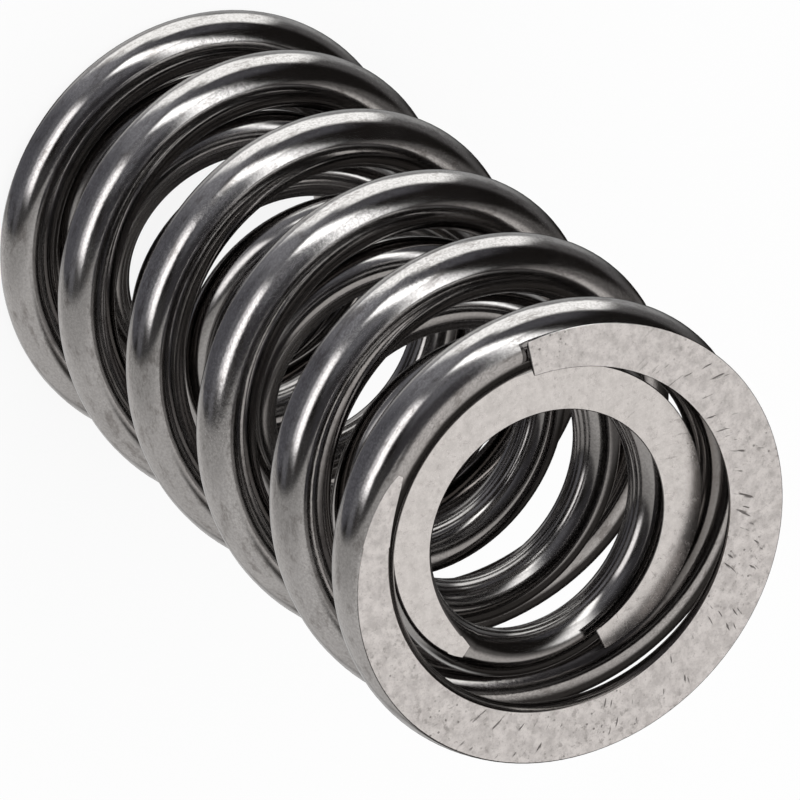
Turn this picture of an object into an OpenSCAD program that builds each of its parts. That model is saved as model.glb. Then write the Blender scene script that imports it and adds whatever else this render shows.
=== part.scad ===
// A nested pair of engine valve springs: a right-hand outer coil and a left-hand inner coil.
// Each is one length of round wire with its two end turns closed up and ground flat.
// The axis is Z and both springs stand on z = 0. The inner one is shorter, so its upper
// ground face lies below the outer one's, where the stepped retainer of the engine reaches it.

/* [Outer spring] */
// Diameter of the outer wire
outer_wire_d = 4.2; // [3:0.05:5]
// Mean diameter of the outer coil, from wire centre to wire centre
outer_coil_d = 29; // [27:0.1:36]
// Free length of the outer spring, ground face to ground face
outer_len = 62; // [56:0.5:80]
// Turns of the outer wire from tip to tip
outer_turns = 6.65; // [5.5:0.05:7.5]
// Turns closed up at each end of the outer spring, to the middle of the change of pitch
outer_closed = 1.05; // [1:0.05:1.5]
// Length of the change from closed to open pitch, in turns
outer_ramp = 0.2; // [0.05:0.05:0.6]
// Thickness that grinding leaves at each tip of the outer wire
outer_tip = 0.5; // [0.3:0.05:1.5]
// Where the upper tip of the outer wire points, in degrees about Z
outer_tip_angle = 0; // [0:1:359]

/* [Inner spring] */
// Diameter of the inner wire
inner_wire_d = 3.4; // [2.4:0.05:3.7]
// Radial clearance between the inner spring and the outer one
spring_gap = 0.4; // [0.2:0.05:1.5]
// Depth of the inner spring's upper ground face below the outer one's
inner_step = 2.9; // [0.5:0.1:4]
// Turns of the inner wire from tip to tip
inner_turns = 8.1; // [6.5:0.05:9.5]
// Turns closed up at each end of the inner spring
inner_closed = 0.8; // [0.75:0.05:1.5]
// Length of the change from closed to open pitch, in turns
inner_ramp = 0.15; // [0.05:0.05:0.6]
// Thickness that grinding leaves at each tip of the inner wire
inner_tip = 0.25; // [0.2:0.05:1.2]
// Where the upper tip of the inner wire points, in degrees about Z
inner_tip_angle = 192; // [0:1:359]

/* [Closed turns] */
// Gap left between a closed turn and the turn that it lies against
turn_gap = 0.06; // [0.05:0.01:0.3]

/* [Facets] */
// Sides of the outer wire's section, a multiple of four
outer_sides = 20; // [12:4:24]
// Sections cut along each turn of the outer wire
outer_steps = 32; // [24:4:36]
// Sides of the inner wire's section, a multiple of four
inner_sides = 16; // [12:4:20]
// Sections cut along each turn of the inner wire
inner_steps = 30; // [24:2:34]

/* [Hidden] */
RIGHT_HAND = 1;
LEFT_HAND = -1;
inner_len = outer_len - inner_step;
// Mean diameter of the inner coil, which lies inside the outer one by the clearance
inner_coil_d = outer_coil_d - outer_wire_d - 2 * spring_gap - inner_wire_d;
steel = [0.47, 0.47, 0.5];
dark_steel = [0.4, 0.4, 0.43];

// Radius of a regular polygon that has the same area as the round wire
function section_r(wire_d, sides) = wire_d / 2 * sqrt(2 * PI / sides / sin(360 / sides));

// Area under a unit ramp that starts at zero, the running total of a change of pitch
function ramp_area(u) = u < 0 ? 0 : u < 1 ? u * u / 2 : u - 0.5;

// Pitch of the open turns, from the height that the turns must cover between the two tips
function open_pitch(span, turns, closed, closed_pitch) =
    closed_pitch + (span - closed_pitch * turns) / (turns - 2 * closed);

// Climb of the wire's centre, t turns after the lower tip
function climb(t, turns, closed, ramp, closed_pitch, pitch) =
    closed_pitch * t + (pitch - closed_pitch) * ramp
    * (ramp_area((t - closed) / ramp + 0.5) - ramp_area((t - turns + closed) / ramp + 0.5));

// Angle round the section from its far side to the edge of the ground flat. The centre lies
// inside units of height from the flat, and rests below it by r or more where nothing is ground
function edge_angle(inside, r, sides) = 90 + asin(min(inside / r, sin(90 - 180 / sides)));

// Corner k of a section: its angle is measured from the side away from the nearer ground face,
// and the corners draw together so that two of them lie on the two edges of the flat
function corner_angle(k, sides, edge, upper) =
    let (from_far = (k + 0.5) * 360 / sides - 180, away = from_far * edge / (180 - 180 / sides))
    upper ? away - 90 : away + 90;

// One length of round wire, wound with hand +1 (right) or -1 (left), closed and ground at both ends
module ground_spring(wire_d, coil_d, len, turns, closed, ramp, tip, tip_angle, hand, sides, steps) {
    r = section_r(wire_d, sides);
    sink = wire_d / 2 - tip;
    closed_pitch = wire_d + turn_gap;
    pitch = open_pitch(len + 2 * sink, turns, closed, closed_pitch);
    count = round(turns * steps);
    half = sides / 2;

    points = [
        for (i = [0:count])
            let (
                t = turns * i / count,
                z = climb(t, turns, closed, ramp, closed_pitch, pitch) - sink,
                a = tip_angle + hand * 360 * (t - turns),
                upper = t > turns / 2,
                edge = edge_angle(upper ? len - z : z, r, sides)
            )
            for (k = [0:sides - 1])
                let (
                    // the upper half counts its corners half way round, so that they meet the lower half's
                    turned = upper ? k : (k + half) % sides,
                    b = corner_angle(turned, sides, edge, upper),
                    rad = coil_d / 2 + r * cos(b)
                )
                [rad * cos(a), rad * sin(a), z + r * sin(b)]
    ];
    skin = [
        for (i = [0:count - 1], k = [0:sides - 1])
            let (m = (k + 1) % sides, p = i * sides, q = p + sides)
            for (face = [[p + k, q + k, q + m], [p + k, q + m, p + m]])
                hand > 0 ? face : [face[0], face[2], face[1]]
    ];
    ends = [
        [for (k = [0:sides - 1]) hand > 0 ? k : sides - 1 - k],
        [for (k = [0:sides - 1]) count * sides + (hand > 0 ? sides - 1 - k : k)]
    ];
    polyhedron(points = points, faces = concat(skin, ends), convexity = 20);
}

module outer_spring() {
    color(steel)
        ground_spring(outer_wire_d, outer_coil_d, outer_len, outer_turns, outer_closed, outer_ramp,
                      outer_tip, outer_tip_angle, RIGHT_HAND, outer_sides, outer_steps);
}

module inner_spring() {
    color(dark_steel)
        ground_spring(inner_wire_d, inner_coil_d, inner_len, inner_turns, inner_closed, inner_ramp,
                      inner_tip, inner_tip_angle, LEFT_HAND, inner_sides, inner_steps);
}

outer_spring();
inner_spring();
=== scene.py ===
"""Looks of a nested pair of engine valve springs.

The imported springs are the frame. Each one is replaced by a finer winding of the same wire, cut off
flat at both ends as a grinding wheel leaves it, with a polished finish along the wire and a ground
finish on the end faces. Lengths are in metres, Z is the coil axis and both springs stand on z = 0.
"""

import logging
import math
from dataclasses import dataclass, field
from enum import Enum
from typing import Any, Optional, Sequence, Union

import bpy
import numpy as np
from mathutils import Euler, Matrix, Vector


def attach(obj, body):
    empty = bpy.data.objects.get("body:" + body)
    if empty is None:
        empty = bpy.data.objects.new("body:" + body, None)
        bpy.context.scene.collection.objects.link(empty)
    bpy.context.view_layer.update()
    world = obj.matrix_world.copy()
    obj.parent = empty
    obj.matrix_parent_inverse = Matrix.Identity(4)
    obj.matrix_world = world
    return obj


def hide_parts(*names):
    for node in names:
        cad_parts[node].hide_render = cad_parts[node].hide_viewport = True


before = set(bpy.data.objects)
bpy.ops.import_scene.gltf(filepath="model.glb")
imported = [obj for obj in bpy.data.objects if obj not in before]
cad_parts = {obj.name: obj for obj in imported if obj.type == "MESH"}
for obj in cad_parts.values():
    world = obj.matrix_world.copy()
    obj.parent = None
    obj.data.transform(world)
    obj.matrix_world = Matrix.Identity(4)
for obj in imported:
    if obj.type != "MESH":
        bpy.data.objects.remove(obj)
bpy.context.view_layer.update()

MM = 0.001
PLACE = "wire_place"

logging.basicConfig(level=logging.INFO, format="%(levelname)s %(message)s")
log = logging.getLogger("valve_springs")


class Hand(Enum):
    """Which way a coil climbs, seen from outside."""

    RIGHT = 1
    LEFT = -1


class Skin(Enum):
    """Material slots of a spring, in order."""

    WIRE = 0
    GROUND = 1


# Shader maths


class Value:
    """A number that varies over a surface, held as one output socket of a node tree."""

    def __init__(self, graph: "Graph", socket: bpy.types.NodeSocket) -> None:
        """Wrap a socket.

        Args:
            graph: The graph that new nodes are added to.
            socket: The output socket that carries the number.
        """
        self.graph = graph
        self.socket = socket

    def __add__(self, other: "Number") -> "Value":
        """Sum of two numbers."""
        return self.graph.math("ADD", self, other)

    def __radd__(self, other: "Number") -> "Value":
        """Sum, with a plain number on the left."""
        return self.graph.math("ADD", other, self)

    def __sub__(self, other: "Number") -> "Value":
        """Difference of two numbers."""
        return self.graph.math("SUBTRACT", self, other)

    def __rsub__(self, other: "Number") -> "Value":
        """Difference, with a plain number on the left."""
        return self.graph.math("SUBTRACT", other, self)

    def __mul__(self, other: "Number") -> "Value":
        """Product of two numbers."""
        return self.graph.math("MULTIPLY", self, other)

    def __rmul__(self, other: "Number") -> "Value":
        """Product, with a plain number on the left."""
        return self.graph.math("MULTIPLY", other, self)

    def __truediv__(self, other: "Number") -> "Value":
        """Quotient of two numbers."""
        return self.graph.math("DIVIDE", self, other)

    def __pow__(self, other: "Number") -> "Value":
        """This number raised to a power."""
        return self.graph.math("POWER", self, other)

    def __abs__(self) -> "Value":
        """Size of this number without its sign."""
        return self.graph.math("ABSOLUTE", self)

    def step(self, low: float, high: float) -> "Value":
        """Rise smoothly from 0 to 1 as this number goes from low to high.

        Args:
            low: Where the rise starts; above high, the result falls instead.
            high: Where the rise ends.

        Returns:
            The smooth step, from 0 to 1.
        """
        falls = low > high
        node = self.graph.node(
            "ShaderNodeMapRange",
            {"interpolation_type": "SMOOTHSTEP", "clamp": True},
            {
                "Value": self,
                "From Min": min(low, high),
                "From Max": max(low, high),
                "To Min": 1.0 if falls else 0.0,
                "To Max": 0.0 if falls else 1.0,
            },
        )
        return Value(self.graph, node.outputs["Result"])


Number = Union[Value, float]


class Graph:
    """A node tree that is written as expressions."""

    def __init__(self, tree: bpy.types.NodeTree) -> None:
        """Empty the tree.

        Args:
            tree: The node tree of a material or a world.
        """
        self.tree = tree
        self.tree.nodes.clear()

    def node(
        self,
        kind: str,
        settings: Optional[dict[str, Any]] = None,
        inputs: Optional[dict[Union[str, int], Any]] = None,
    ) -> bpy.types.Node:
        """Add one node.

        Args:
            kind: The node's type name.
            settings: Its own settings, set first; "stops" holds a colour ramp's stops.
            inputs: A value or a link for each named or numbered input.

        Returns:
            The new node.
        """
        made = self.tree.nodes.new(kind)
        for name, setting in (settings or {}).items():
            if name == "stops":
                self._set_stops(made.color_ramp, setting)
            else:
                setattr(made, name, setting)
        for name, given in (inputs or {}).items():
            self._feed(made.inputs[name], given)
        return made

    def _set_stops(self, ramp: bpy.types.ColorRamp, stops: Sequence[tuple[float, Any]]) -> None:
        """Give a ramp its stops, each a position and a colour."""
        while len(ramp.elements) < len(stops):
            ramp.elements.new(0.5)
        for element, (position, colour) in zip(ramp.elements, stops):
            element.position = position
            element.color = (*colour, 1.0)

    def _feed(self, target: bpy.types.NodeSocket, given: Any) -> None:
        """Link a socket, or set its own value."""
        if isinstance(given, Value):
            self.tree.links.new(given.socket, target)
        elif isinstance(given, bpy.types.NodeSocket):
            self.tree.links.new(given, target)
        elif isinstance(given, tuple) and len(given) == 3 and target.type == "RGBA":
            target.default_value = (*given, 1.0)
        else:
            target.default_value = given

    def math(self, operation: str, *terms: Number) -> Value:
        """Add a Math node.

        Args:
            operation: The node's operation.
            terms: Its inputs in order.

        Returns:
            The result.
        """
        made = self.node("ShaderNodeMath", {"operation": operation}, dict(enumerate(terms)))
        return Value(self, made.outputs[0])

    def vector(self, operation: str, *terms: Any) -> bpy.types.NodeSocket:
        """Add a Vector Math node.

        Args:
            operation: The node's operation.
            terms: Its inputs in order.

        Returns:
            The vector that comes out.
        """
        made = self.node("ShaderNodeVectorMath", {"operation": operation}, dict(enumerate(terms)))
        return made.outputs["Vector"]

    def dot(self, one: Any, other: Any) -> Value:
        """Dot product of two vectors, as a number."""
        made = self.node("ShaderNodeVectorMath", {"operation": "DOT_PRODUCT"}, {0: one, 1: other})
        return Value(self, made.outputs["Value"])

    def parts(self, vector: Any) -> tuple[Value, Value, Value]:
        """The three numbers of a vector."""
        made = self.node("ShaderNodeSeparateXYZ", {}, {0: vector})
        return tuple(Value(self, out) for out in made.outputs)

    def join(self, x: Number, y: Number, z: Number) -> bpy.types.NodeSocket:
        """A vector from three numbers."""
        return self.node("ShaderNodeCombineXYZ", {}, {0: x, 1: y, 2: z}).outputs[0]

    def noise(self, place: Any, stretch: tuple[float, float, float], detail: float = 2.0,
              rough: float = 0.5) -> Value:
        """Soft noise from 0 to 1 about 0.5.

        Args:
            place: The vector that it is read at.
            stretch: Repeats for each unit of length, along each axis.
            detail: Octaves of finer noise.
            rough: How strong the finer octaves are.

        Returns:
            The noise.
        """
        scaled = self.vector("MULTIPLY", place, stretch)
        made = self.node("ShaderNodeTexNoise", {}, {
            "Vector": scaled, "Scale": 1.0, "Detail": detail, "Roughness": rough,
        })
        return Value(self, made.outputs["Fac"])

    def specks(self, place: Any, stretch: tuple[float, float, float]) -> Value:
        """Distance to the nearest of a cloud of points, 0 at a point."""
        scaled = self.vector("MULTIPLY", place, stretch)
        made = self.node("ShaderNodeTexVoronoi", {}, {"Vector": scaled, "Scale": 1.0})
        return Value(self, made.outputs["Distance"])

    def blend(self, share: Number, low: Any, high: Any) -> bpy.types.NodeSocket:
        """Mix two colours.

        Args:
            share: 0 for the low colour, 1 for the high one.
            low: A colour or a link.
            high: A colour or a link.

        Returns:
            The mixed colour.
        """
        made = self.node("ShaderNodeMix", {"data_type": "RGBA", "clamp_factor": True}, {
            "Factor": share,
        })
        sockets = [s for s in made.inputs if s.type == "RGBA"]
        self._feed(sockets[0], low)
        self._feed(sockets[1], high)
        return next(s for s in made.outputs if s.type == "RGBA")

    def seen(self) -> Value:
        """1 for camera, glossy and transmission rays, 0 for the others."""
        path = self.node("ShaderNodeLightPath")
        camera = Value(self, path.outputs["Is Camera Ray"])
        glossy = Value(self, path.outputs["Is Glossy Ray"])
        through = Value(self, path.outputs["Is Transmission Ray"])
        return self.math("MAXIMUM", self.math("MAXIMUM", camera, glossy), through)


# Finishes


@dataclass(frozen=True)
class WireFinish:
    """Drawn and polished spring steel, whose marks run along the wire."""

    name: str
    light: tuple[float, float, float]
    dark: tuple[float, float, float]
    gloss: float = 0.08
    haze: float = 0.07
    wave: float = 0.003
    streak: float = 0.00005
    grain: float = 0.006
    nicks: float = 1.0
    # painted shade: how far the side of the wire that faces the coil axis is darkened, and the dark colour
    # that this painted shade and the random stains both take
    inward_shade: float = 0.8
    stain_and_shade_colour: tuple[float, float, float] = (0.1, 0.087, 0.079)
    offset: float = 0.0

    def build(self) -> bpy.types.Material:
        """Make the material.

        Returns:
            Polished steel that reads the place along and across the wire.
        """
        material = bpy.data.materials.new(self.name)
        material.use_nodes = True
        graph = Graph(material.node_tree)
        attribute = graph.node("ShaderNodeAttribute", {"attribute_name": PLACE})
        in_mm = graph.vector("MULTIPLY", attribute.outputs["Vector"], (1000.0, 1000.0, 1000.0))
        place = graph.vector("ADD", in_mm, (self.offset, 0.0, 0.0))

        broad = graph.noise(place, (0.11, 0.3, 0.3), 2.0)
        streaks = graph.noise(place, (0.2, 4.0, 4.0), 2.0, 0.5)
        grain = graph.noise(place, (5.5, 6.5, 6.5), 3.0, 0.6)
        worn = graph.noise(place, (0.16, 0.45, 0.45), 3.0).step(0.5, 0.66)
        specks = graph.specks(place, (1.6, 2.4, 2.4)).step(0.15, 0.07) * self.nicks
        stains = graph.noise(place, (0.55, 1.1, 1.1), 5.0, 0.72).step(0.5, 0.68)
        outward = graph.parts(in_mm)[1]

        light = 0.1 * streaks + 0.35 * broad + 0.55 * grain.step(0.34, 0.66) * (0.6 + 0.4 * worn)
        colour = graph.blend(light, self.dark, self.light)
        colour = graph.blend(0.5 * self.nicks * stains, colour, self.stain_and_shade_colour)
        colour = graph.blend(0.3 * specks * worn, colour, (0.1, 0.09, 0.085))
        # painted shade: the side of the wire that faces the coil axis is darkened, where the inside of the
        # coil lies in shade
        colour = graph.blend(self.inward_shade * outward.step(0.2, -1.7), colour, self.stain_and_shade_colour)
        roughness = self.gloss + self.haze * broad.step(0.4, 0.75) * 0.6
        roughness = roughness + 0.1 * worn * grain + 0.04 * streaks + 0.05 * stains
        waves = graph.noise(place, (0.35, 0.7, 0.7), 1.0)
        dimples = graph.noise(place, (2.4, 3.2, 3.2), 3.0, 0.62)
        height = self.wave * waves + self.streak * streaks + self.grain * dimples * (0.4 + worn)
        height = height + 0.1 * self.grain * grain * (0.3 + worn) - 0.001 * specks * worn
        bump = graph.node("ShaderNodeBump", {}, {
            "Strength": 1.0, "Distance": MM, "Height": height,
        })
        shader = graph.node("ShaderNodeBsdfPrincipled", {}, {
            "Base Color": colour, "Metallic": 1.0, "Roughness": roughness,
            "Normal": bump.outputs["Normal"],
        })
        graph.node("ShaderNodeOutputMaterial", {}, {"Surface": shader.outputs[0]})
        return material


@dataclass(frozen=True)
class GroundFinish:
    """A flat left by the grinding wheel: pale, clouded, with short dark scores across the ring."""

    name: str
    light: tuple[float, float, float]
    cloud: tuple[float, float, float]
    score: tuple[float, float, float] = (0.12, 0.11, 0.105)
    scored: float = 1.0
    gloss: float = 0.34
    lean: float = -0.034
    offset: float = 0.0

    def build(self) -> bpy.types.Material:
        """Make the material.

        Returns:
            Ground steel that reads the place on the piece, round the coil axis.
        """
        material = bpy.data.materials.new(self.name)
        material.use_nodes = True
        graph = Graph(material.node_tree)
        coordinates = graph.node("ShaderNodeTexCoord")
        place = graph.vector("MULTIPLY", coordinates.outputs["Object"], (1000.0, 1000.0, 1000.0))
        place = graph.vector("ADD", place, (0.0, 0.0, self.offset))
        x, y, z = graph.parts(place)
        out = graph.math("SQRT", x * x + y * y)
        turn = graph.math("ARCTAN2", y, x) - self.lean * out
        lay = graph.join(13.0 * turn, out, z)

        clouds = graph.noise(place, (1.1, 1.1, 1.1), 6.0, 0.72)
        smudges = graph.noise(place, (1.9, 1.9, 1.9), 4.0, 0.68).step(0.53, 0.67)
        zones = graph.noise(place, (0.17, 0.17, 0.17), 2.0).step(0.42, 0.6)
        side = (x + y).step(8.0, -6.0)
        lines = graph.noise(lay, (3.2, 0.55, 1.0), 2.0, 0.5).step(0.655, 0.71)
        fine = graph.noise(lay, (13.0, 0.8, 1.0), 3.0, 0.6)
        pits = graph.specks(place, (1.5, 1.5, 1.5)).step(0.17, 0.08)
        speckle = graph.noise(place, (4.2, 4.2, 4.2), 4.0, 0.7)

        scores = lines * side * self.scored
        marks = pits * zones * self.scored
        tone = clouds.step(0.3, 0.68) * 0.8 + 0.2 * fine
        colour = graph.blend(tone, self.cloud, self.light)
        colour = graph.blend(smudges * (0.12 + 0.5 * self.scored * zones), colour, (0.38, 0.36, 0.35))
        colour = graph.blend(speckle.step(0.56, 0.7) * (0.12 + 0.3 * self.scored), colour,
                             (0.34, 0.325, 0.315))
        colour = graph.blend(0.8 * scores, colour, self.score)
        colour = graph.blend(0.7 * marks, colour, self.score)
        roughness = self.gloss + 0.1 * clouds + 0.1 * smudges + 0.1 * scores
        height = 0.001 * fine - 0.012 * scores - 0.008 * marks + 0.0012 * speckle
        bump = graph.node("ShaderNodeBump", {}, {
            "Strength": 1.0, "Distance": MM, "Height": height,
        })
        shader = graph.node("ShaderNodeBsdfPrincipled", {}, {
            "Base Color": colour, "Metallic": 1.0, "Roughness": roughness,
            "Normal": bump.outputs["Normal"],
        })
        graph.node("ShaderNodeOutputMaterial", {}, {"Surface": shader.outputs[0]})
        return material


# Springs


@dataclass
class CoilSpring:
    """One length of round wire, wound into a coil whose ends are closed up and ground flat."""

    name: str
    node: str
    slot: str
    wire_d: float
    coil_d: float
    length: float
    turns: float
    closed: float
    ramp: float
    tip: float
    tip_angle: float
    hand: Hand
    wire: WireFinish
    ground: GroundFinish
    turn_gap: float = 0.06 * MM
    sides: int = 48
    rings: int = 120
    edge_break: float = 0.07 * MM
    piece: Optional[bpy.types.Object] = field(default=None, init=False)

    @property
    def wire_r(self) -> float:
        """Radius of the wire."""
        return self.wire_d / 2

    @property
    def coil_r(self) -> float:
        """Radius of the coil, to the wire's centre."""
        return self.coil_d / 2

    @property
    def sink(self) -> float:
        """How far the wire's centre lies outside the ground face at a tip."""
        return self.wire_r - self.tip

    def climb(self, t: np.ndarray) -> np.ndarray:
        """Height of the wire's centre.

        Args:
            t: Turns from the lower tip.

        Returns:
            Heights above the lower ground face.
        """
        closed_pitch = self.wire_d + self.turn_gap
        span = self.length + 2 * self.sink - closed_pitch * self.turns
        extra = span / (self.turns - 2 * self.closed)

        def area(u: np.ndarray) -> np.ndarray:
            return np.where(u < 0, 0.0, np.where(u < 1, u * u / 2, u - 0.5))

        first = area((t - self.closed) / self.ramp + 0.5)
        last = area((t - self.turns + self.closed) / self.ramp + 0.5)
        return closed_pitch * t + extra * self.ramp * (first - last) - self.sink

    def bearing(self, t: Union[float, np.ndarray]) -> Union[float, np.ndarray]:
        """Angle round the axis, in radians, t turns from the lower tip."""
        return math.radians(self.tip_angle) + self.hand.value * math.tau * (t - self.turns)

    def build(self) -> bpy.types.Object:
        """Wind, grind, break the edges and dress the spring.

        Returns:
            The finished piece.
        """
        self._wind()
        self._grind()
        self._close_tips()
        self._break_edges()
        self._dress()
        self._mark_places()
        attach(self.piece, "root")
        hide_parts(self.node)
        return self.piece

    def _wind(self) -> None:
        """Sweep a circle of wire round the axis for as many turns as the spring has."""
        start = self.bearing(0.0)
        steps = round(self.turns * self.rings)
        bpy.ops.object.select_all(action="DESELECT")
        bpy.ops.mesh.primitive_circle_add(
            vertices=self.sides,
            radius=self.wire_r,
            fill_type="NOTHING",
            location=(self.coil_r * math.cos(start), self.coil_r * math.sin(start), 0.0),
            rotation=(math.pi / 2, 0.0, start),
        )
        self.piece = bpy.context.active_object
        self.piece.name = self.name
        self.piece.data.name = self.name
        bpy.ops.object.transform_apply(location=True, rotation=True, scale=True)
        screw = self.piece.modifiers.new("winding", "SCREW")
        screw.axis = "Z"
        screw.angle = self.hand.value * math.tau * self.turns
        screw.screw_offset = self.length
        screw.iterations = 1
        screw.steps = steps
        screw.render_steps = steps
        screw.use_smooth_shade = True
        bpy.ops.object.modifier_apply(modifier=screw.name)

    def _grind(self) -> None:
        """Set each section at its true height, with a flat where it meets a ground plane.

        The corners of a section draw together along the round side, so that two of them lie on
        the edges of the flat and the strip between these two is the ground face.
        """
        mesh = self.piece.data
        count = len(mesh.vertices) // self.sides
        t = np.linspace(0.0, self.turns, count)
        height = self.climb(t)
        upper = t > self.turns / 2
        inside = np.where(upper, self.length - height, height)
        corner = math.pi / self.sides
        edge = math.pi / 2 + np.arcsin(np.minimum(inside / self.wire_r, math.cos(corner)))
        step = np.arange(self.sides)
        from_far = (2 * step + 1) * corner - math.pi
        draw = (edge / (math.pi - corner))[:, None]
        above = from_far[None, :] * draw - math.pi / 2
        below = from_far[(step + self.sides // 2) % self.sides][None, :] * draw + math.pi / 2
        around = np.where(upper[:, None], above, below)
        out = self.coil_r + self.wire_r * np.cos(around)
        angle = self.bearing(t)[:, None]
        places = np.stack([
            out * np.cos(angle),
            out * np.sin(angle),
            height[:, None] + self.wire_r * np.sin(around),
        ], axis=2)
        mesh.vertices.foreach_set("co", places.ravel())
        mesh.update()

    def _close_tips(self) -> None:
        """Close the two cut ends of the wire and turn every face outwards."""
        bpy.ops.object.mode_set(mode="EDIT")
        bpy.ops.mesh.select_all(action="SELECT")
        bpy.ops.mesh.fill_holes(sides=0)
        bpy.ops.mesh.select_all(action="SELECT")
        bpy.ops.mesh.normals_make_consistent(inside=False)
        bpy.ops.object.mode_set(mode="OBJECT")

    def _flat(self, polygon: bpy.types.MeshPolygon) -> bool:
        """Whether a face lies on one of the two ground planes."""
        height = polygon.center.z
        level = min(abs(height), abs(height - self.length)) < 0.002 * MM
        return level and abs(polygon.normal.z) > 0.999

    def _break_edges(self) -> None:
        """Take a fine chamfer off the sharp edges that grinding and cutting leave.

        At a thin tip the chamfer would rise past the ground face, so it is kept below it.
        """
        bevel = self.piece.modifiers.new("edge break", "BEVEL")
        bevel.width = self.edge_break
        bevel.segments = 2
        bevel.limit_method = "ANGLE"
        bevel.angle_limit = math.radians(32)
        bevel.use_clamp_overlap = False
        bevel.harden_normals = False
        bpy.context.view_layer.objects.active = self.piece
        bpy.ops.object.modifier_apply(modifier=bevel.name)
        mesh = self.piece.data
        places = np.empty(len(mesh.vertices) * 3)
        mesh.vertices.foreach_get("co", places)
        places[2::3] = np.clip(places[2::3], 0.0, self.length)
        mesh.vertices.foreach_set("co", places)
        mesh.update()

    def _dress(self) -> None:
        """Smooth the wire, keep the flats flat and give each face its finish."""
        mesh = self.piece.data
        mesh.materials.clear()
        mesh.materials.append(self.wire.build())
        mesh.materials.append(self.ground.build())
        bpy.ops.object.select_all(action="DESELECT")
        self.piece.select_set(True)
        bpy.ops.object.shade_smooth_by_angle(angle=math.radians(40))
        flats = {p.index for p in mesh.polygons if self._flat(p)}
        sharp = set()
        for polygon in mesh.polygons:
            ground = polygon.index in flats
            polygon.material_index = (Skin.GROUND if ground else Skin.WIRE).value
            if ground:
                sharp.update(mesh.loops[i].edge_index for i in polygon.loop_indices)
        for index in sharp:
            mesh.edges[index].use_edge_sharp = True

    def _mark_places(self) -> None:
        """Store each point's place in the straightened wire: along it, and across it both ways."""
        mesh = self.piece.data
        places = np.empty(len(mesh.vertices) * 3)
        mesh.vertices.foreach_get("co", places)
        places = places.reshape(-1, 3)
        turned = np.arctan2(places[:, 1], places[:, 0]) - self.bearing(0.0)
        part = np.mod(self.hand.value * turned / math.tau, 1.0)
        turns = part[:, None] + np.arange(-1, math.ceil(self.turns) + 1)[None, :]
        off = np.abs(places[:, 2:3] - self.climb(np.clip(turns, 0.0, self.turns)))
        off = off + 100.0 * np.abs(turns - np.clip(turns, -0.01, self.turns + 0.01))
        best = turns[np.arange(len(turns)), off.argmin(axis=1)]
        out = np.hypot(places[:, 0], places[:, 1]) - self.coil_r
        up = places[:, 2] - self.climb(best)
        stored = np.stack([best * math.pi * self.coil_d, out, up], axis=1)
        layer = mesh.attributes.new(PLACE, "FLOAT_VECTOR", "POINT")
        layer.data.foreach_set("vector", stored.astype(np.float32).ravel())
        mesh.update()


@dataclass
class NestedSprings:
    """The outer spring with the opposite-handed inner spring inside it."""

    outer: CoilSpring
    inner: CoilSpring

    @classmethod
    def as_photographed(cls) -> "NestedSprings":
        """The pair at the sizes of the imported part.

        Returns:
            Both springs, not built yet.
        """
        steel = WireFinish("polished_outer_wire", (0.5, 0.49, 0.485), (0.29, 0.282, 0.279))
        # painted shade: the inner spring sits inside the outer one, and its wire and ground face take
        # darker colours than the outer spring's for that shade
        shaded_inner_steel = WireFinish("polished_inner_wire", (0.4, 0.391, 0.386), (0.25, 0.243, 0.24),
                                gloss=0.095, streak=0.00002, grain=0.0006, nicks=0.15, inward_shade=0.15,
                                offset=400.0)
        scored = GroundFinish("ground_outer_face", (0.89, 0.866, 0.857), (0.55, 0.532, 0.525))
        smooth = GroundFinish("ground_inner_face", (0.71, 0.693, 0.684), (0.55, 0.536, 0.528),
                              scored=0.25, gloss=0.15, offset=90.0)
        outer = CoilSpring(
            name="outer_coil", node="outer_spring", slot="outer_wire",
            wire_d=4.2 * MM, coil_d=29.0 * MM, length=62.0 * MM, turns=6.65, closed=1.05,
            ramp=0.2, tip=0.5 * MM, tip_angle=0.0, hand=Hand.RIGHT, wire=steel, ground=scored,
        )
        inner = CoilSpring(
            name="inner_coil", node="inner_spring", slot="inner_wire",
            wire_d=3.4 * MM, coil_d=20.6 * MM, length=59.1 * MM, turns=8.1, closed=0.8,
            ramp=0.15, tip=0.25 * MM, tip_angle=192.0, hand=Hand.LEFT, wire=shaded_inner_steel,
            ground=smooth, sides=40, rings=108, edge_break=0.09 * MM,
        )
        return cls(outer, inner)

    def build(self) -> list[bpy.types.Object]:
        """Build both springs.

        Returns:
            The two finished pieces.
        """
        return [self.outer.build(), self.inner.build()]


# Studio


def towards(azimuth: float, elevation: float) -> Vector:
    """Unit vector in a direction given in degrees."""
    a = math.radians(azimuth)
    e = math.radians(elevation)
    return Vector((math.cos(a) * math.cos(e), math.sin(a) * math.cos(e), math.sin(e)))


@dataclass(frozen=True)
class Panel:
    """A soft-edged patch of light or shade on the tent, seen from the springs' middle.

    It reaches from start to stop, each an azimuth and an elevation in degrees.
    """

    start: tuple[float, float]
    stop: tuple[float, float]
    half_height: float
    soft: float
    glow: tuple[float, float, float]

    def mask(self, graph: Graph, ray: bpy.types.NodeSocket) -> Value:
        """How much of the panel is seen along a ray.

        Args:
            graph: The graph of the tent's material.
            ray: The unit vector from the springs' middle.

        Returns:
            1 inside the panel, 0 outside, soft between.
        """
        first = towards(*self.start)
        last = towards(*self.stop)
        middle = (first + last).normalized()
        right = (last - first).normalized()
        up = middle.cross(right)
        ahead = graph.dot(ray, tuple(middle))
        across = graph.math("ARCTAN2", graph.dot(ray, tuple(right)), ahead)
        aloft = graph.math("ARCSINE", graph.dot(ray, tuple(up)))
        soft = math.radians(self.soft) / 2
        wide = first.angle(last) / 2
        high = math.radians(self.half_height)
        inside = abs(across).step(wide + soft, wide - soft)
        return inside * abs(aloft).step(high + soft, high - soft)


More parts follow.
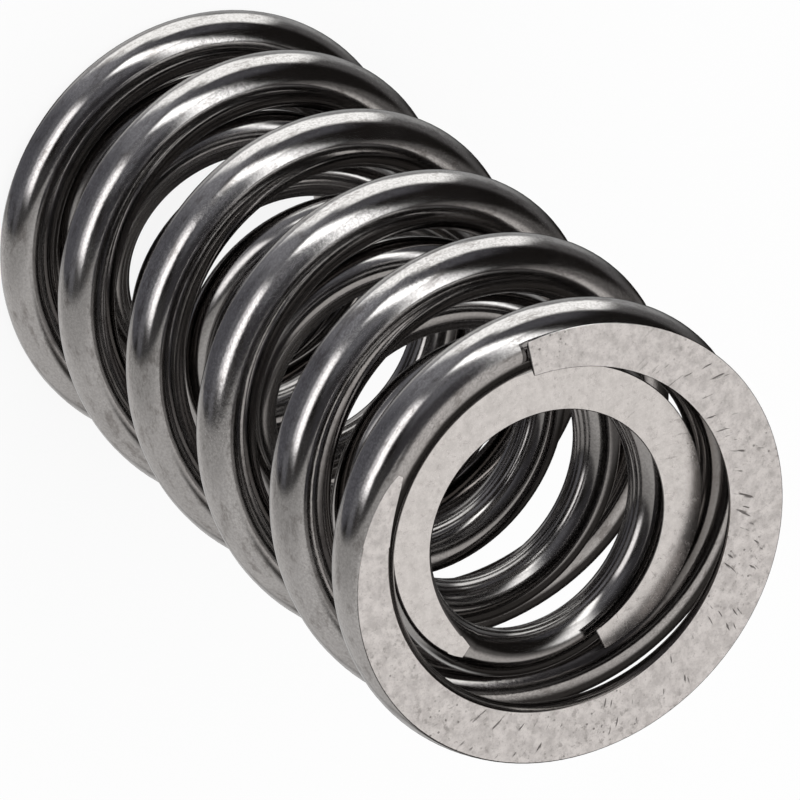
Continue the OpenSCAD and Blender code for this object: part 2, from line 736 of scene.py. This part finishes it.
@dataclass
class Studio:
    """A white floor, a soft lamp, and the painted tent that the polished wire mirrors."""

    middle: float = 31.0 * MM
    tent_r: float = 1.3
    floor_r: float = 4.0
    floor_z: float = -0.1 * MM
    gloom: tuple[float, float, float] = (0.02, 0.018, 0.0165)
    panels: tuple[Panel, ...] = (
        # dim sky over the camera, and a little more light between the lamps
        Panel((-75.0, 62.0), (95.0, 70.0), 26.0, 16.0, (0.074, 0.072, 0.078)),
        Panel((-28.0, 44.0), (30.0, 44.0), 12.0, 18.0, (0.23, 0.23, 0.25)),
        # faint light in the dark gaps between the lamps
        Panel((-50.0, 12.0), (-2.0, 12.0), 13.0, 18.0, (0.14, 0.14, 0.155)),
        Panel((6.0, 20.0), (24.0, 20.0), 16.0, 10.0, (0.28, 0.28, 0.3)),
        Panel((58.0, 35.0), (90.0, 35.0), 27.0, 14.0, (0.09, 0.088, 0.088)),
        Panel((-104.0, -13.0), (-58.0, -13.0), 12.0, 18.0, (0.18, 0.175, 0.175)),
        # the low front, and the lighter strip beside it
        Panel((8.0, -38.0), (92.0, -38.0), 42.0, 8.0, (0.17, 0.17, 0.19)),
        Panel((-12.0, -4.0), (84.0, -2.0), 11.0, 14.0, (0.26, 0.26, 0.28)),
        Panel((-6.0, -30.0), (28.0, -30.0), 36.0, 22.0, (0.4, 0.4, 0.43)),
        # the broad grey side
        Panel((86.0, 8.0), (157.0, 8.0), 76.0, 7.0, (0.6, 0.585, 0.57)),
        Panel((106.0, 6.0), (157.0, 6.0), 74.0, 24.0, (0.86, 0.84, 0.82)),
        # behind, out of the wire's sight from the camera
        Panel((160.0, 26.0), (238.0, 26.0), 38.0, 14.0, (0.065, 0.06, 0.056)),
        Panel((152.0, -46.0), (188.0, -46.0), 28.0, 12.0, (0.72, 0.71, 0.7)),
        Panel((-124.0, 15.0), (-103.0, 15.0), 44.0, 12.0, (0.2, 0.19, 0.185)),
        # above the ground faces
        Panel((-180.0, 53.0), (-116.0, 54.0), 25.0, 18.0, (0.95, 0.91, 0.88)),
        # the low left, dim, and the broad white light
        Panel((-104.0, -50.0), (-52.0, -50.0), 26.0, 22.0, (0.52, 0.52, 0.52)),
        Panel((-70.0, -72.0), (20.0, -72.0), 12.0, 14.0, (0.7, 0.69, 0.68)),
        Panel((-62.0, -23.0), (-12.0, -25.0), 22.0, 10.0, (2.2, 2.2, 2.16)),
        Panel((-40.0, -36.0), (6.0, -36.0), 21.0, 11.0, (2.2, 2.2, 2.16)),
        # three lamps round the camera, the first with a skirt of spill under it
        Panel((26.0, 19.0), (69.0, 19.0), 15.0, 11.0, (1.3, 1.28, 1.3)),
        Panel((27.0, 23.0), (67.0, 25.0), 8.5, 8.0, (2.9, 2.86, 2.84)),
        Panel((4.0, 16.0), (-27.0, 41.0), 6.5, 9.0, (4.2, 4.2, 4.15)),
        Panel((-27.0, 43.0), (-90.0, 61.0), 6.0, 12.0, (3.3, 3.3, 3.28)),
    )
    pieces: list[bpy.types.Object] = field(default_factory=list, init=False)

    def build(self) -> list[bpy.types.Object]:
        """Make the floor, the tent, the lamp and the world.

        Returns:
            The pieces of the stage.
        """
        self.pieces = [self._floor(), self._tent()]
        self._lamp()
        self._world()
        return self.pieces

    def _floor(self) -> bpy.types.Object:
        """A wide white floor that keeps a faint shadow.

        Returns:
            The floor.
        """
        bpy.ops.object.select_all(action="DESELECT")
        bpy.ops.mesh.primitive_circle_add(
            vertices=128, radius=self.floor_r, fill_type="NGON", location=(0.0, 0.0, self.floor_z)
        )
        floor = bpy.context.active_object
        floor.name = "floor"
        bpy.ops.object.transform_apply(location=True)
        material = bpy.data.materials.new("white_floor")
        material.use_nodes = True
        graph = Graph(material.node_tree)
        paint = graph.node("ShaderNodeBsdfDiffuse", {}, {"Color": (0.9, 0.9, 0.9)})
        glow = graph.node("ShaderNodeEmission", {}, {"Color": (1.0, 1.0, 1.0), "Strength": 1.0})
        mixed = graph.node("ShaderNodeMixShader", {}, {
            0: 0.88 * graph.seen(), 1: paint.outputs[0], 2: glow.outputs[0],
        })
        graph.node("ShaderNodeOutputMaterial", {}, {"Surface": mixed.outputs[0]})
        floor.data.materials.append(material)
        floor.visible_glossy = False
        return floor

    def _paint(self, tent: bpy.types.Object) -> None:
        """Give the tent its glow, panel over panel.

        Args:
            tent: The tent.
        """
        material = bpy.data.materials.new("tent_cloth")
        material.use_nodes = True
        material.cycles.emission_sampling = "NONE"
        graph = Graph(material.node_tree)
        coordinates = graph.node("ShaderNodeTexCoord")
        place = graph.vector("SUBTRACT", coordinates.outputs["Object"], (0.0, 0.0, self.middle))
        ray = graph.vector("NORMALIZE", place)
        colour: Any = self.gloom
        for panel in self.panels:
            colour = graph.blend(panel.mask(graph, ray), colour, panel.glow)
        glow = graph.node("ShaderNodeEmission", {}, {"Color": colour, "Strength": 1.0})
        graph.node("ShaderNodeOutputMaterial", {}, {"Surface": glow.outputs[0]})
        tent.data.materials.append(material)

    def _tent(self) -> bpy.types.Object:
        """A sphere round the springs that only reflections see.

        Returns:
            The tent.
        """
        bpy.ops.object.select_all(action="DESELECT")
        bpy.ops.mesh.primitive_uv_sphere_add(
            segments=96, ring_count=48, radius=self.tent_r, location=(0.0, 0.0, self.middle)
        )
        tent = bpy.context.active_object
        tent.name = "tent"
        bpy.ops.object.transform_apply(location=True)
        tent.visible_camera = False
        tent.visible_diffuse = False
        tent.visible_transmission = False
        tent.visible_volume_scatter = False
        tent.visible_shadow = False
        self._paint(tent)
        return tent

    def _lamp(self) -> None:
        """A wide soft lamp overhead that lights the floor."""
        data = bpy.data.lights.new("soft_lamp", "AREA")
        data.shape = "DISK"
        data.size = 1.2
        data.energy = 6.0
        lamp = bpy.data.objects.new("soft_lamp", data)
        lamp.location = (0.25, -0.1, 1.15)
        lamp.rotation_euler = (Vector((0.0, 0.0, 0.0)) - lamp.location).to_track_quat("-Z", "Y").to_euler()
        lamp.visible_camera = False
        lamp.visible_glossy = False
        bpy.context.scene.collection.objects.link(lamp)

    def _world(self) -> None:
        """A white room."""
        world = bpy.data.worlds.new("white_room")
        world.use_nodes = True
        bpy.context.scene.world = world
        graph = Graph(world.node_tree)
        dim = graph.node("ShaderNodeBackground", {}, {"Color": (1.0, 1.0, 1.0), "Strength": 0.7})
        white = graph.node("ShaderNodeBackground", {}, {"Color": (1.0, 1.0, 1.0), "Strength": 1.0})
        mixed = graph.node("ShaderNodeMixShader", {}, {
            0: graph.seen(), 1: dim.outputs[0], 2: white.outputs[0],
        })
        graph.node("ShaderNodeOutputWorld", {}, {"Surface": mixed.outputs[0]})


@dataclass(frozen=True)
class Viewpoint:
    """Where the photograph was taken from."""

    place: tuple[float, float, float] = (0.282307, 0.175897, 0.520901)
    turn: tuple[float, float, float] = (-24.37308, -25.09929, -101.2252)
    lens: float = 374.93
    sensor: float = 36.0

    def build(self) -> bpy.types.Object:
        """Make the camera and look through it.

        Returns:
            The camera.
        """
        data = bpy.data.cameras.new("camera")
        data.lens = self.lens
        data.sensor_width = self.sensor
        camera = bpy.data.objects.new("camera", data)
        camera.location = self.place
        camera.rotation_euler = Euler([math.radians(a) for a in self.turn])
        bpy.context.scene.collection.objects.link(camera)
        bpy.context.scene.camera = camera
        return camera


def main() -> None:
    """Build the springs, the studio and the camera."""
    view = bpy.context.scene.view_settings
    view.view_transform = "Standard"
    for piece in NestedSprings.as_photographed().build():
        log.info("%s: %d faces", piece.name, len(piece.data.polygons))
    for piece in Studio().build():
        log.info("stage: %s", piece.name)
    Viewpoint().build()


if __name__ == "__main__":
    main()
